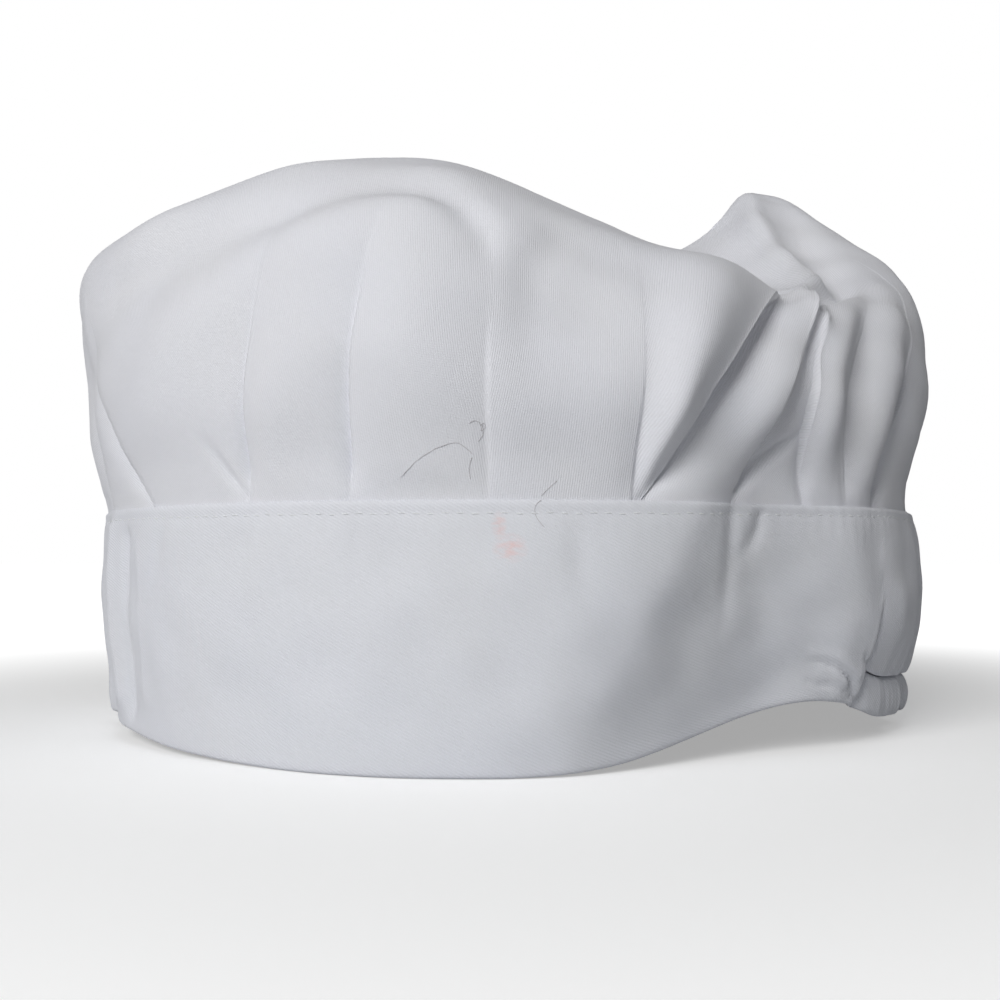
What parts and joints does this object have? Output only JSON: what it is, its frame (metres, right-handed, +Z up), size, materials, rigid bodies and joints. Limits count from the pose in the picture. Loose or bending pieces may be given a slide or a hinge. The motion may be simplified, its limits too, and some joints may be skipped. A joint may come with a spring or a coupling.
{
  "type": "chef hat",
  "caption": "Low white chef hat: a plain cloth band with an elastic casing along its back edge, and a floppy gathered crown with soft folds.",
  "frame": {"origin": "on the surface the hat rests on, under the middle of its outline", "axes": "+Z up through the crown, -Y towards the front of the hat, +X towards the wearer's left, which is the right of the picture"},
  "size_m": [0.2244, 0.1716, 0.1425],
  "materials": {
    "crown_cloth": "matt white cotton and polyester twill",
    "band_cloth": "matt white twill, two layers, edge stitched",
    "casing_cloth": "matt white twill, gathered over elastic"
  },
  "bodies": {
    "root": {"crown": "crown_cloth", "band": "band_cloth", "elastic_casing": "casing_cloth"}
  },
  "joints": []
}
